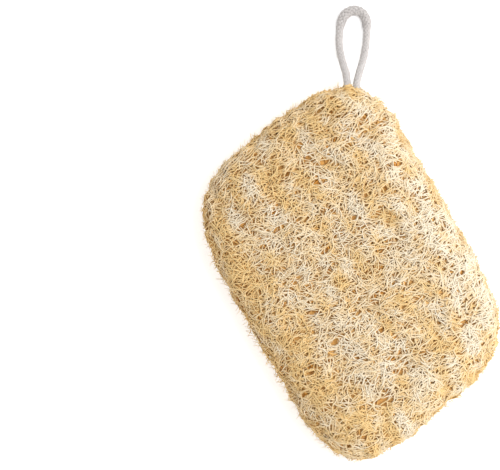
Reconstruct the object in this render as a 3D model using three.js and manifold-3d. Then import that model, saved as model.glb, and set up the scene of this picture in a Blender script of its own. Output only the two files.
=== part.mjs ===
// A natural loofah sponge: a pad cut from the wall of a dried loofah gourd and pressed flat,
// with a cotton hanging loop that is knotted inside one corner.
// Millimetres, +Z up. The origin is the middle of the underside, +Y runs along the pad to the
// end that carries the loop, and the face that was the gourd's outside looks up.

import * as THREE from "three";
import { ConvexHull } from "three/addons/math/ConvexHull.js";
import { mergeVertices } from "three/addons/utils/BufferGeometryUtils.js";
import Module from "manifold-3d";

// The pad's driving sizes
const PAD_LENGTH = 149;
const PAD_WIDTH = 100;
const PAD_THICKNESS = 22;
const MIDDLE_LENGTH = 143.5; // along the pad's middle line: the slanted ends add the rest
const RIM_HEIGHT = 9.5; // of the pad's widest line above the surface that it lies on
const END_SLANT = 0.135; // how far an end climbs for each millimetre across the pad
const CORNER_POWER = 4.26; // of the outline's superellipse: higher is squarer
const CORNER_SWING = 0.49; // the loop's corner and the opposite one are squarer by this much
const FACE_POWER = 6; // how flat the faces are before they turn down to the rim
const EDGE_POWER = 2.2; // how round the rim is

// The raised net of fibres: a mesh is one sunk field with fibres all round it. The outer face's
// fibres run round the gourd, across the pad, and the inner face's stouter ones run along it.
const OUTER_FACE = { side: 1, meshLength: 6.9, meshWidth: 4.9, grain: 6, halfFibre: 1.05 };
const INNER_FACE = { side: -1, meshLength: 8.8, meshWidth: 5.6, grain: 84, halfFibre: 1.3 };
const RIM_MESH = 6.4; // of a mesh along the rim
const MESH_STRAY = 0.42; // how far a mesh strays from an even net, in meshes
const MESH_DEPTH = 4.5; // from the highest fibres down to the middle of a mesh
const FIBRE_SINK = 1.5; // the lowest fibres lie this far under the highest
const FIBRE_TAPER = 0.3; // the lowest fibres are finer by this share
const FIBRE_STEPS = 9; // knots of the net that a fibre passes before it ends
const FIBRE_TURN = 0.45; // how readily a fibre turns from its heading, from 0 to 1
const LEAST_HEADING = 0.2; // a fibre ends where no way on keeps this share of its heading
const ROW_SHARE = 0.87; // of a mesh's width from one row of meshes to the next
const NET_SEED = 20731;

// What the pad rests on
const FLAT_SPOT_RADIUS = 7.5; // round the middle of the underside, where one mesh is closed
const LEVEL_RADIUS = 26; // the fibres within this radius are pressed flat on the surface

// The cotton loop, in a frame of its own: across, out of the pad's corner, and up
const CORD_DIAMETER = 3.4;
const CORD_SIDES = 8;
const CORD_STEPS = 44;
const LOOP_ROOT = new THREE.Vector3(40.7, 68.2, 0); // where the loop leaves the pad
const LOOP_ANGLE = 30.25; // degrees from +Y towards +X
const LEG_OFFSET = 1.85; // of a leg's middle from the loop's own middle line
const LEG_END = -16.4; // where a leg meets the knot
const LEG_HEIGHT = 10.6;
const LYING_HEIGHT = 1.75; // of the cord's middle where it lies on the surface
const SLOT_CLEARANCE = 0.35;
const SLOT_REACH = 8; // how far out the slot is cut, to open it through the rim

// The knot that holds both legs inside the pad
const KNOT_RADIUS = 4.3;
const KNOT_LENGTH = 9;
const KNOT_WRAPS = 3;
const KNOT_GAP = 0.3;
const KNOT_GROOVE = 0.9; // how deep the groove between two wraps is
const KNOT_SHOULDER = 0.2; // how far a wrap's shoulders lie under its crest
const KNOT_SIDES = 14;

const LOOFAH_COLOUR = 0xddc198;
const COTTON_COLOUR = 0xf1eeea;

// The cord's middle line from knot to knot, as it leaves the rim, sinks and lies down.
const LOOP_ROUTE = [
  [-LEG_OFFSET, LEG_END, LEG_HEIGHT],
  [-LEG_OFFSET, -10, LEG_HEIGHT],
  [-LEG_OFFSET, -4, LEG_HEIGHT],
  [-1.95, 0.5, 10.3],
  [-2.4, 4.6, 8.7],
  [-3.4, 8.4, 6.1],
  [-4.4, 12.2, 3.6],
  [-5.1, 16.2, 2.1],
  [-5.3, 19.8, LYING_HEIGHT],
  [-5.1, 23.4, LYING_HEIGHT],
  [-4.6, 26.6, LYING_HEIGHT],
  [-3.5, 29.5, LYING_HEIGHT],
  [-1.5, 31.6, LYING_HEIGHT],
  [1.2, 32.4, LYING_HEIGHT],
  [3.9, 31.7, LYING_HEIGHT],
  [5.7, 29.7, LYING_HEIGHT],
  [6.5, 26.8, LYING_HEIGHT],
  [6.6, 23.4, LYING_HEIGHT],
  [6.4, 19.8, LYING_HEIGHT],
  [6.0, 16.2, 2.1],
  [5.2, 12.2, 3.6],
  [4.1, 8.4, 6.1],
  [2.9, 4.6, 8.7],
  [2.0, 0.5, 10.3],
  [LEG_OFFSET, -4, LEG_HEIGHT],
  [LEG_OFFSET, -10, LEG_HEIGHT],
  [LEG_OFFSET, LEG_END, LEG_HEIGHT],
];

// A repeatable random number from -1 to 1.
function makeRandom(seed) {
  let state = seed;
  return () => {
    state = (state * 1664525 + 1013904223) % 4294967296;
    return state / 2147483648 - 1;
  };
}

// The outline's radius at an angle round the pad, before its ends are slanted.
function outlineRadius(angle) {
  const power = CORNER_POWER + CORNER_SWING * Math.sin(2 * angle);
  const across = Math.abs(Math.cos(angle) / (PAD_WIDTH / 2)) ** power;
  const along = Math.abs(Math.sin(angle) / (MIDDLE_LENGTH / 2)) ** power;
  return (across + along) ** (-1 / power);
}

// The half section from the middle of a face to the rim, as shares of the outline's radius and
// of the height, found by the length along it: 0 is the middle of the face and 1 is the rim.
function makeSection(steps) {
  const section = [{ reach: 0, height: 1, length: 0 }];
  for (let i = 1; i <= steps; i++) {
    const turn = ((i / steps) * Math.PI) / 2;
    const reach = Math.sin(turn) ** (2 / FACE_POWER);
    const height = Math.cos(turn) ** (2 / EDGE_POWER);
    const before = section[i - 1];
    const run = ((reach - before.reach) * PAD_WIDTH) / 2;
    const rise = ((height - before.height) * PAD_THICKNESS) / 2;
    section.push({ reach, height, length: before.length + Math.hypot(run, rise) });
  }
  return (share) => {
    const wanted = Math.min(share, 1) * section[steps].length;
    const next = Math.max(1, section.findIndex((entry) => entry.length >= wanted - 1e-9));
    const [a, b] = [section[next - 1], section[next]];
    const mix = (wanted - a.length) / (b.length - a.length);
    return {
      reach: THREE.MathUtils.lerp(a.reach, b.reach, mix),
      height: THREE.MathUtils.lerp(a.height, b.height, mix),
    };
  };
}

// The pad's smooth form as a value that is 1 on its surface and grows outwards.
function formValue(x, y, z) {
  const straightY = y - END_SLANT * x;
  const share = Math.hypot(x, straightY) / outlineRadius(Math.atan2(straightY, x));
  const rise = z > RIM_HEIGHT ? PAD_THICKNESS - RIM_HEIGHT : RIM_HEIGHT;
  return share ** FACE_POWER + Math.abs((z - RIM_HEIGHT) / rise) ** EDGE_POWER;
}

function formNormal({ x, y, z }) {
  const step = 0.01;
  return new THREE.Vector3(
    formValue(x + step, y, z) - formValue(x - step, y, z),
    formValue(x, y + step, z) - formValue(x, y - step, z),
    formValue(x, y, z + step) - formValue(x, y, z - step),
  ).normalize();
}

// The point at a depth under the pad's form. A place (u, v) lies on one face, unrolled as far
// as the rim, and side is 1 for the upper face and -1 for the underside.
const sectionAt = makeSection(120);

function skinPoint({ u, v, side }, depth) {
  const angle = Math.atan2(v, u);
  const radius = outlineRadius(angle);
  const { reach, height } = sectionAt(Math.hypot(u, v) / radius);
  const rise = side > 0 ? PAD_THICKNESS - RIM_HEIGHT : RIM_HEIGHT;
  const x = reach * radius * Math.cos(angle);
  const y = reach * radius * Math.sin(angle) + END_SLANT * x;
  const point = new THREE.Vector3(x, y, RIM_HEIGHT + side * height * rise);
  return point.addScaledVector(formNormal(point), -depth);
}

// The middles of the meshes that straddle the rim, evenly spaced round it.
function rimMeshes() {
  const corners = [];
  for (let degrees = 0; degrees <= 360; degrees++) {
    const angle = THREE.MathUtils.degToRad(degrees);
    const radius = outlineRadius(angle);
    corners.push(new THREE.Vector2(radius * Math.cos(angle), radius * Math.sin(angle)));
  }
  const outline = new THREE.Path(corners);
  const count = Math.round(outline.getLength() / RIM_MESH);
  const places = outline.getSpacedPoints(count).slice(0, count);
  return places.map(({ x, y }) => ({ u: x, v: y, side: 1 }));
}

// A place on a face as its distance along and across the face's grain, and back again.
function alongGrain({ u, v }, { grain }) {
  const place = new THREE.Vector2(u, v);
  return place.rotateAround(new THREE.Vector2(), -THREE.MathUtils.degToRad(grain));
}

function fromGrain(along, across, { grain, side }) {
  const place = new THREE.Vector2(along, across);
  place.rotateAround(new THREE.Vector2(), THREE.MathUtils.degToRad(grain));
  return { u: place.x, v: place.y, side };
}

// The middles of the meshes on one face: rows along the grain, each mesh a little astray.
function faceMeshes(face, random) {
  const rowStep = face.meshWidth * ROW_SHARE;
  const rows = Math.ceil(PAD_LENGTH / rowStep);
  const meshes = face.side < 0 ? [{ u: 0, v: 0, side: face.side, isFlatSpot: true }] : [];
  for (let row = -rows; row <= rows; row++) {
    for (let place = -rows; place <= rows; place++) {
      const along = (place + (row % 2) / 2 + MESH_STRAY * random()) * face.meshLength;
      const across = (row + MESH_STRAY * random()) * rowStep;
      const mesh = fromGrain(along, across, face);
      const fromMiddle = Math.hypot(mesh.u, mesh.v);
      const fromRim = outlineRadius(Math.atan2(mesh.v, mesh.u)) - fromMiddle;
      const isOnFlatSpot = face.side < 0 && fromMiddle < FLAT_SPOT_RADIUS;
      if (fromRim > face.meshWidth / 2 && !isOnFlatSpot) meshes.push(mesh);
    }
  }
  return meshes;
}

// The Delaunay triangles of the places on a face, anticlockwise seen from above. They are the
// lower faces of the hull of the same places lifted onto a bowl. The plane is squeezed along
// the grain, so that the meshes come out long that way.
function triangulate(places, face) {
  const lifted = places.map((place) => {
    const { x, y } = alongGrain(place, face);
    const [along, across] = [x / face.meshLength, y / face.meshWidth];
    return new THREE.Vector3(along, across, along * along + across * across);
  });
  const indexOf = new Map(lifted.map((point, index) => [point, index]));
  const lowerFaces = new ConvexHull().setFromPoints(lifted).faces.filter(({ normal }) => normal.z < -1e-9);
  return lowerFaces.map(({ edge }) =>
    [edge, edge.prev, edge.next].map((side) => indexOf.get(side.head().point)),
  );
}

// The net over the whole pad. A knot is where three fibres meet, in the middle of three meshes,
// and its ring holds those meshes, anticlockwise seen from outside.
function makeNet(random) {
  const rim = rimMeshes();
  const meshes = [...rim];
  const knots = [];
  for (const face of [OUTER_FACE, INNER_FACE]) {
    const places = [...rim, ...faceMeshes(face, random)];
    const shift = meshes.length - rim.length;
    meshes.push(...places.slice(rim.length));
    for (const corners of triangulate(places, face)) {
      const mean = (axis) => corners.reduce((sum, corner) => sum + places[corner][axis] / 3, 0);
      const ring = corners.map((corner) => (corner < rim.length ? corner : corner + shift));
      if (face.side < 0) ring.reverse();
      knots.push({ u: mean("u"), v: mean("v"), side: face.side, ring });
    }
  }
  return { meshes, knots };
}

// Links the net up: each knot gets its three neighbours, neighbour i lying past the fibre
// between meshes i and i + 1 of its ring, and each mesh gets the knots round it in order.
function linkNet({ meshes, knots }) {
  const knotOf = new Map();
  for (const knot of knots) {
    knot.ring.forEach((mesh, i) => knotOf.set(`${mesh}/${knot.ring[(i + 1) % 3]}`, knot));
  }
  for (const knot of knots) {
    knot.neighbours = knot.ring.map((mesh, i) => knotOf.get(`${knot.ring[(i + 1) % 3]}/${mesh}`));
    for (const mesh of knot.ring) meshes[mesh].firstKnot = knot;
  }
  meshes.forEach((mesh, index) => {
    mesh.knots = [];
    for (let knot = mesh.firstKnot; !mesh.knots.includes(knot); ) {
      mesh.knots.push(knot);
      knot = knot.neighbours[(knot.ring.indexOf(index) + 2) % 3];
    }
  });
}

// Gives every knot its depth. A fibre follows the grain from knot to knot at one depth, so that
// the high fibres run on over the low ones.
function layFibres(knots, random) {
  for (const knot of knots) knot.place = skinPoint(knot, 0);
  const order = knots.map((knot) => ({ knot, rank: random() }));
  order.sort((a, b) => a.rank - b.rank);
  for (const { knot: start } of order) {
    if (start.sink !== undefined) continue;
    start.sink = ((random() + 1) / 2) * FIBRE_SINK;
    const { grain } = start.side > 0 ? OUTER_FACE : INNER_FACE;
    const angle = THREE.MathUtils.degToRad(grain);
    for (const way of [1, -1]) {
      const heading = new THREE.Vector3(way * Math.cos(angle), way * Math.sin(angle), 0);
      runFibre(start, heading);
    }
  }
}

function runFibre(start, heading) {
  let here = start;
  for (let step = 0; step < FIBRE_STEPS; step++) {
    const free = here.neighbours.filter((knot) => knot.sink === undefined);
    const choices = free.map((knot) => ({ knot, way: knot.place.clone().sub(here.place).normalize() }));
    choices.sort((a, b) => b.way.dot(heading) - a.way.dot(heading));
    if (!choices.length || choices[0].way.dot(heading) < LEAST_HEADING) return;
    here = choices[0].knot;
    here.sink = start.sink;
    heading.lerp(choices[0].way, FIBRE_TURN).normalize();
  }
}

// The edge of a fibre beside one knot, on the side of one mesh.
function edgePoint(knot, mesh) {
  const [du, dv] = [mesh.u - knot.u, mesh.v - knot.v];
  const { halfFibre } = knot.side > 0 ? OUTER_FACE : INNER_FACE;
  const width = halfFibre * (1 + FIBRE_TAPER / 2 - (FIBRE_TAPER * knot.sink) / FIBRE_SINK);
  const share = Math.min(0.5, width / Math.hypot(du, dv));
  const place = { u: knot.u + share * du, v: knot.v + share * dv, side: knot.side };
  const point = skinPoint(place, knot.sink);
  const isLevel = knot.side < 0 && Math.hypot(point.x, point.y) < LEVEL_RADIUS;
  return isLevel ? point.setZ(0) : point;
}

// The pad's solid: flat-topped fibres that fork at the knots, with a pit in every mesh.
function makePad() {
  const random = makeRandom(NET_SEED);
  const { meshes, knots } = makeNet(random);
  linkNet({ meshes, knots });
  layFibres(knots, random);
  const points = [];
  const triangles = [];
  for (const mesh of meshes) {
    mesh.corner = new Map();
    for (const knot of mesh.knots) {
      mesh.corner.set(knot, points.length);
      points.push(edgePoint(knot, mesh));
    }
  }
  const fibreBox = new THREE.Box3().setFromPoints(points);
  knots.forEach((knot, index) => {
    const ring = knot.ring.map((mesh) => meshes[mesh]);
    triangles.push(...ring.map((mesh) => mesh.corner.get(knot)));
    knot.neighbours.forEach((neighbour, i) => {
      if (knots.indexOf(neighbour) < index) return;
      const [left, right] = [ring[(i + 1) % 3], ring[i]];
      const [a, b] = [left.corner.get(knot), right.corner.get(knot)];
      const [c, d] = [right.corner.get(neighbour), left.corner.get(neighbour)];
      triangles.push(a, b, c, a, c, d);
    });
  });
  for (const mesh of meshes) {
    mesh.knots.forEach((knot, i) => {
      const next = mesh.knots[(i + 1) % mesh.knots.length];
      triangles.push(mesh.corner.get(knot), mesh.corner.get(next), points.length);
    });
    points.push(mesh.isFlatSpot ? new THREE.Vector3() : skinPoint(mesh, MESH_DEPTH));
  }
  return fitToSize(points, triangles, fibreBox);
}

// Brings the ragged net to the pad's exact size, centred over the origin.
function fitToSize(points, triangles, box) {
  const size = box.getSize(new THREE.Vector3());
  const middle = box.getCenter(new THREE.Vector3()).setZ(0);
  const scale = new THREE.Vector3(PAD_WIDTH, PAD_LENGTH, PAD_THICKNESS).divide(size);
  const geometry = new THREE.BufferGeometry();
  geometry.setFromPoints(points.map((point) => point.sub(middle).multiply(scale)));
  geometry.setIndex(triangles);
  return geometry;
}

const wasm = await Module();
wasm.setup();

function toSolid(geometry) {
  const plain = geometry.clone();
  plain.deleteAttribute("normal");
  plain.deleteAttribute("uv");
  const merged = mergeVertices(plain, 1e-5);
  return new wasm.Manifold(
    new wasm.Mesh({
      numProp: 3,
      vertProperties: new Float32Array(merged.attributes.position.array),
      triVerts: new Uint32Array(merged.index.array),
    }),
  );
}

function toGeometry(solid) {
  const mesh = solid.getMesh();
  const geometry = new THREE.BufferGeometry();
  geometry.setAttribute("position", new THREE.BufferAttribute(mesh.vertProperties, 3));
  geometry.setIndex(new THREE.BufferAttribute(mesh.triVerts, 1));
  return geometry;
}

// A regular outline of a circle for the cord.
function roundShape(radius, sides) {
  const corners = [];
  for (let i = 0; i < sides; i++) {
    const angle = ((i + 0.5) / sides) * 2 * Math.PI;
    corners.push(new THREE.Vector2(radius * Math.cos(angle), radius * Math.sin(angle)));
  }
  return new THREE.Shape(corners);
}

function makeLoop() {
  const route = new THREE.CatmullRomCurve3(
    LOOP_ROUTE.map((point) => new THREE.Vector3(...point)),
    false,
    "centripetal",
  );
  return new THREE.ExtrudeGeometry(roundShape(CORD_DIAMETER / 2, CORD_SIDES), {
    steps: CORD_STEPS,
    bevelEnabled: false,
    extrudePath: route,
  });
}

// A barrel knot: wraps of cord side by side, lying along the loop behind the leg ends.
function makeKnot() {
  const wrap = KNOT_LENGTH / KNOT_WRAPS;
  const dips = [KNOT_GROOVE, KNOT_SHOULDER, 0, KNOT_SHOULDER];
  const profile = [new THREE.Vector2(0, 0)];
  for (let i = 0; i < KNOT_WRAPS; i++) {
    dips.forEach((dip, quarter) => {
      profile.push(new THREE.Vector2(KNOT_RADIUS - dip, (i + quarter / 4) * wrap));
    });
  }
  profile.push(new THREE.Vector2(KNOT_RADIUS - KNOT_GROOVE, KNOT_LENGTH));
  profile.push(new THREE.Vector2(0, KNOT_LENGTH));
  const knot = new THREE.LatheGeometry(profile, KNOT_SIDES);
  return knot.translate(0, LEG_END - KNOT_GAP - KNOT_LENGTH, 0);
}

// The room inside the pad for the two legs, side by side, and for the knot behind them.
function makeSocket() {
  const radius = CORD_DIAMETER / 2 + SLOT_CLEARANCE;
  const slot = new THREE.Shape();
  slot.absarc(LEG_OFFSET, 0, radius, -Math.PI / 2, Math.PI / 2, false);
  slot.absarc(-LEG_OFFSET, 0, radius, Math.PI / 2, (3 * Math.PI) / 2, false);
  const legs = new THREE.ExtrudeGeometry(slot, {
    depth: SLOT_REACH - LEG_END + 2 * KNOT_GAP,
    curveSegments: 6,
    bevelEnabled: false,
  });
  legs.rotateX(Math.PI / 2).translate(0, SLOT_REACH, 0);
  const room = new THREE.CylinderGeometry(
    KNOT_RADIUS + KNOT_GAP,
    KNOT_RADIUS + KNOT_GAP,
    KNOT_LENGTH + 2 * KNOT_GAP,
    KNOT_SIDES,
  );
  room.translate(0, LEG_END - KNOT_GAP - KNOT_LENGTH / 2, 0);
  return toSolid(legs).add(toSolid(room));
}

function makeMesh(name, geometry, material) {
  const mesh = new THREE.Mesh(geometry, material);
  mesh.name = name;
  return mesh;
}

// The loop, its knot and the room for them share this frame at the pad's corner.
const corner = new THREE.Group();
corner.position.copy(LOOP_ROOT);
corner.rotation.z = -THREE.MathUtils.degToRad(LOOP_ANGLE);
corner.updateMatrixWorld();

const socket = toGeometry(makeSocket()).translate(0, 0, LEG_HEIGHT).applyMatrix4(corner.matrixWorld);
const pad = makeMesh(
  "loofah_pad",
  toGeometry(toSolid(makePad()).subtract(toSolid(socket))),
  new THREE.MeshStandardMaterial({ color: LOOFAH_COLOUR, roughness: 0.85, metalness: 0 }),
);

const loop = makeMesh(
  "hanging_loop",
  makeLoop(),
  new THREE.MeshStandardMaterial({ color: COTTON_COLOUR, roughness: 0.9, metalness: 0 }),
);

const knot = makeMesh(
  "loop_knot",
  makeKnot(),
  new THREE.MeshStandardMaterial({ color: COTTON_COLOUR, roughness: 0.9, metalness: 0 }),
);
knot.position.z = LEG_HEIGHT;

corner.add(loop, knot);

const group = new THREE.Group();
group.add(pad, corner);

export default group;
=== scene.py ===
# %% [markdown]
# # A natural loofah sponge with a cotton hanging loop
#
# The real thing is a piece of dried gourd wall, pressed flat: nothing but plant fibres, joined
# where they cross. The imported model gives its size, place and form. This lesson dresses that
# form with real fibres, laid layer by layer from the inside out, and braids the cord of the
# loop. Almost everything is worked out in millimetres and turned into metres when a mesh is
# made. Only the cord's route is in metres from the start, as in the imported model.

import math

import bpy
import numpy as np
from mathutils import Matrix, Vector


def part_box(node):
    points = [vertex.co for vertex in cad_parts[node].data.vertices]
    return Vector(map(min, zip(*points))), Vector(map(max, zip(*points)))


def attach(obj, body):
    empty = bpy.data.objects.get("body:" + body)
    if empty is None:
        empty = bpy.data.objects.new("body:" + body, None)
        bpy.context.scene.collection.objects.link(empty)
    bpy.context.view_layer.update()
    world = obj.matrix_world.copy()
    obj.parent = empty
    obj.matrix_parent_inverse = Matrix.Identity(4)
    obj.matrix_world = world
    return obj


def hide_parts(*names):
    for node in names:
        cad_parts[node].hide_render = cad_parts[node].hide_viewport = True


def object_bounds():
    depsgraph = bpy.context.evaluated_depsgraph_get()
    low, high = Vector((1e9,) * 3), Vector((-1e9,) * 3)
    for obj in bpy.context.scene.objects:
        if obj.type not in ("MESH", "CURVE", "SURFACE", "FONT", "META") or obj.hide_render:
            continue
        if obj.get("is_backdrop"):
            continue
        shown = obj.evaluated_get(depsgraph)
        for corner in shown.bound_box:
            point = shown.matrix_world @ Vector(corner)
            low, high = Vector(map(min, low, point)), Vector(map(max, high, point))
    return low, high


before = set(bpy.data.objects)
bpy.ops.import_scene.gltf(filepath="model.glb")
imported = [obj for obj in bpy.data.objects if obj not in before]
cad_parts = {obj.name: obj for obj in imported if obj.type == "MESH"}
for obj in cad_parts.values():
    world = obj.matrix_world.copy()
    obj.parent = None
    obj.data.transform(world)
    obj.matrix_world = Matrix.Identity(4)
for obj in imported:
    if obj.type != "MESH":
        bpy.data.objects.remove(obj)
cad_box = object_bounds()
MM = 0.001

pad_low, pad_high = (np.array(corner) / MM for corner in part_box("loofah_pad"))
PAD_WIDTH, PAD_LENGTH, PAD_THICKNESS = pad_high - pad_low
print(f"the pad is {PAD_WIDTH:.1f} by {PAD_LENGTH:.1f} by {PAD_THICKNESS:.1f} mm")

# %% [markdown]
# ## The camera
#
# The photo looks straight down on the pad, with the loop pointing up in the picture and the pad
# to the right of the middle. A lens could be shifted for that, but moving the camera sideways
# over the pad does the same and leaves other views alone. A long lens from two metres keeps
# the rim from showing more on one side than on the other.

# %% Place the camera over the pad
PICTURE_WIDTH, PICTURE_HEIGHT = 500, 470
PIXELS_PER_MM = 2.344
PAD_MIDDLE_IN_PICTURE = (350.0, 271.6)
LOOP_ANGLE = math.radians(30.25)
CAMERA_DISTANCE = 2000
RIM_HEIGHT = 9.5

picture_right = np.array([math.cos(LOOP_ANGLE), -math.sin(LOOP_ANGLE), 0])
picture_up = np.array([math.sin(LOOP_ANGLE), math.cos(LOOP_ANGLE), 0])
aside = (PICTURE_WIDTH / 2 - PAD_MIDDLE_IN_PICTURE[0]) / PIXELS_PER_MM
above = (PAD_MIDDLE_IN_PICTURE[1] - PICTURE_HEIGHT / 2) / PIXELS_PER_MM
picture_middle = aside * picture_right + above * picture_up

camera_data = bpy.data.cameras.new("camera_over_pad")
camera_data.sensor_width = 36
camera_data.lens = 36 * CAMERA_DISTANCE * PIXELS_PER_MM / PICTURE_WIDTH
camera_data.clip_end = 20
camera = bpy.data.objects.new("camera_over_pad", camera_data)
camera.location = Vector(picture_middle + [0, 0, CAMERA_DISTANCE + RIM_HEIGHT]) * MM
camera.rotation_euler = (0, 0, -LOOP_ANGLE)
bpy.context.scene.collection.objects.link(camera)
bpy.context.scene.camera = camera
print(f"the lens is {camera_data.lens:.0f} mm long")

# %% [markdown]
# ## Tubes with a map of their own
#
# A fibre, a yarn and a stray hair are all thin tubes along a path. Blender's curves could be
# bevelled for that, but tens of thousands of them are slow, and they share one thickness. So
# one function turns a whole batch of paths into a mesh at once: rings of corners round each
# path, closed to a point at both ends. Each tube also gets its own small field on a flat map,
# and three facts for its material: how far it runs, how pale it is and how deep it lies.

# %% Ways and distances along a path
def unit(vectors):
    """The same directions with a length of 1."""
    return vectors / np.maximum(np.linalg.norm(vectors, axis=-1, keepdims=True), 1e-9)


def along_path(paths):
    """How far each point of a path is from the path's start."""
    steps = np.linalg.norm(np.diff(paths, axis=1), axis=2)
    return np.concatenate([np.zeros((len(paths), 1)), np.cumsum(steps, axis=1)], axis=1)


# %% Rings of corners along many paths
NOISE_SHIFT = 37.7  # how far apart two neighbouring tubes read the streaks' noise


def tube_batch(paths, up, radius, sides=4, flatness=1.0, tone=0.5, depth=0.0, point=0.6):
    """Tubes along paths, which is tubes by points by xyz. up says which way is out of the skin."""
    tubes, points = paths.shape[:2]
    ways = unit(np.gradient(paths, axis=1))
    beside = unit(np.cross(ways, up))
    above = np.cross(beside, ways)
    angle = (np.arange(sides) + 0.5) / sides * 2 * math.pi
    thick = np.broadcast_to(radius, (tubes, points))[..., None, None]
    ring = np.cos(angle)[:, None] * beside[:, :, None] * (2 - flatness)
    ring = ring + np.sin(angle)[:, None] * above[:, :, None] * flatness
    rings = paths[:, :, None] + ring * thick
    tips = np.stack(
        [
            paths[:, 0] - ways[:, 0] * thick[:, 0, 0] * point,
            paths[:, -1] + ways[:, -1] * thick[:, -1, 0] * point,
        ],
        axis=1,
    )
    run = along_path(paths) + np.arange(tubes)[:, None] * NOISE_SHIFT
    place = np.empty((tubes, points, sides, 3))
    place[..., 0] = run[:, :, None]
    place[..., 1] = np.cos(angle)
    place[..., 2] = np.sin(angle)
    tip_place = np.zeros((tubes, 2, 3))
    tip_place[..., 0] = run[:, [0, -1]]
    return {
        "rings": rings,
        "tips": tips,
        "place": place,
        "tip_place": tip_place,
        "depth": np.broadcast_to(depth, (tubes, points)),
        "tone": np.broadcast_to(tone, (tubes, points)),
    }


# %% The faces of the tubes
def tube_faces(tubes, points, sides):
    """Corner numbers and map places of one batch: long faces along the tube, then both ends."""
    a_tube = points * sides + 2
    first = np.arange(tubes)[:, None, None] * a_tube
    step, side = np.meshgrid(np.arange(points - 1), np.arange(sides), indexing="ij")
    beside = (side + 1) % sides
    corners = [step * sides + side, step * sides + beside]
    corners += [(step + 1) * sides + beside, (step + 1) * sides + side]
    long_faces = first[..., None] + np.stack(corners, -1)
    long_map = np.stack([step, side, step, side + 1, step + 1, side + 1, step + 1, side], -1)
    long_map = long_map.reshape(points - 1, sides, 4, 2) + [1, 0]
    turn = np.arange(sides)
    next_turn = (turn + 1) % sides
    start = np.stack([turn * 0 + points * sides, next_turn, turn], -1)
    last = (points - 1) * sides
    end = np.stack([turn * 0 + points * sides + 1, last + turn, last + next_turn], -1)
    end_faces = first + np.concatenate([start, end])
    ones, far = np.ones(sides), np.full(sides, points)
    start_map = np.stack([ones * 0, turn + 0.5, ones, turn + 1, ones, turn], -1)
    end_map = np.stack([far + 1, turn + 0.5, far, turn, far, turn + 1], -1)
    end_map = np.concatenate([start_map, end_map]).reshape(2 * sides, 3, 2)
    return long_faces, long_map, end_faces, end_map


# %% Fields on a flat map
def map_fields(sizes, gap=0.5):
    """Lays fields of the given counts and sizes in rows on a square map: its side, and each start.

    The side starts at what the fields need at least, and grows until they fit."""
    side = math.sqrt(sum(count * (wide + gap) * (high + gap) for count, wide, high in sizes))
    while True:
        side *= 1.01
        starts, low = [], 0.0
        for count, wide, high in sizes:
            in_row = max(1, int(side // (wide + gap)))
            number = np.arange(count)
            row = number // in_row
            starts.append(np.stack([number % in_row * (wide + gap), low + row * (high + gap)], 1))
            low += math.ceil(count / in_row) * (high + gap)
        if low <= side and max(wide for _, wide, _ in sizes) + gap <= side:
            return side, starts


# %% One mesh of many tubes
PLAIN_FIELD = 1.5  # the side of a plain face's field on the map


def tubes_object(name, batches, material, extra=None):
    """One mesh of all batches, with its map and its facts.

    extra is a plain mesh laid beside them: its points, its four-cornered faces, and for each
    point its depth and its tone."""
    shapes = [batch["rings"].shape[:3] for batch in batches]
    sizes = [(tubes, points + 1, sides) for tubes, points, sides in shapes]
    nothing = (np.zeros((0, 3)), np.zeros((0, 4), int), np.zeros(0), np.zeros(0))
    plain_vertices, plain_faces, plain_depth, plain_tone = extra if extra else nothing
    plain_side = 0
    if len(plain_faces):
        plain_side = math.ceil(math.sqrt(len(plain_faces)))
        sizes.append((1, plain_side * PLAIN_FIELD, plain_side * PLAIN_FIELD))
    side, starts = map_fields(sizes)
    vertices, places, depths, tones = [], [], [], []
    faces, counts, maps = [], [], []
    before = 0
    for batch, (tubes, points, sides), start in zip(batches, shapes, starts):
        a_tube = points * sides + 2
        vertices.append(
            np.concatenate([batch["rings"].reshape(tubes, -1, 3), batch["tips"]], 1).reshape(-1, 3)
        )
        places.append(
            np.concatenate([batch["place"].reshape(tubes, -1, 3), batch["tip_place"]], 1).reshape(
                -1, 3
            )
        )
        for fact, store in ((batch["depth"], depths), (batch["tone"], tones)):
            store.append(
                np.concatenate([np.repeat(fact, sides, axis=1), fact[:, [0, -1]]], 1).ravel()
            )
        long_faces, long_map, end_faces, end_map = tube_faces(tubes, points, sides)
        field = start[:, None, None, None]
        maps += [(field + long_map).reshape(-1, 2), (field[:, 0] + end_map).reshape(-1, 2)]
        faces += [(before + long_faces).ravel(), (before + end_faces).ravel()]
        counts += [np.full(long_faces.size // 4, 4), np.full(end_faces.size // 3, 3)]
        before += tubes * a_tube
    if len(plain_faces):
        number = np.arange(len(plain_faces))
        field = np.stack([number % plain_side, number // plain_side], 1) * PLAIN_FIELD
        field = field + starts[-1]
        square = np.array([[0.1, 0.1], [1.2, 0.1], [1.2, 1.2], [0.1, 1.2]])
        maps.append((field[:, None] + square).reshape(-1, 2))
        vertices.append(plain_vertices)
        places.append(plain_vertices)
        depths.append(plain_depth)
        tones.append(plain_tone)
        faces.append((before + plain_faces).ravel())
        counts.append(np.full(len(plain_faces), 4))
    return mesh_object(
        name,
        np.concatenate(vertices),
        np.concatenate(faces),
        np.concatenate(counts),
        np.concatenate(maps) / side,
        {"fibre_depth": np.concatenate(depths), "fibre_tone": np.concatenate(tones)},
        np.concatenate(places),
        material,
    )


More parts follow.
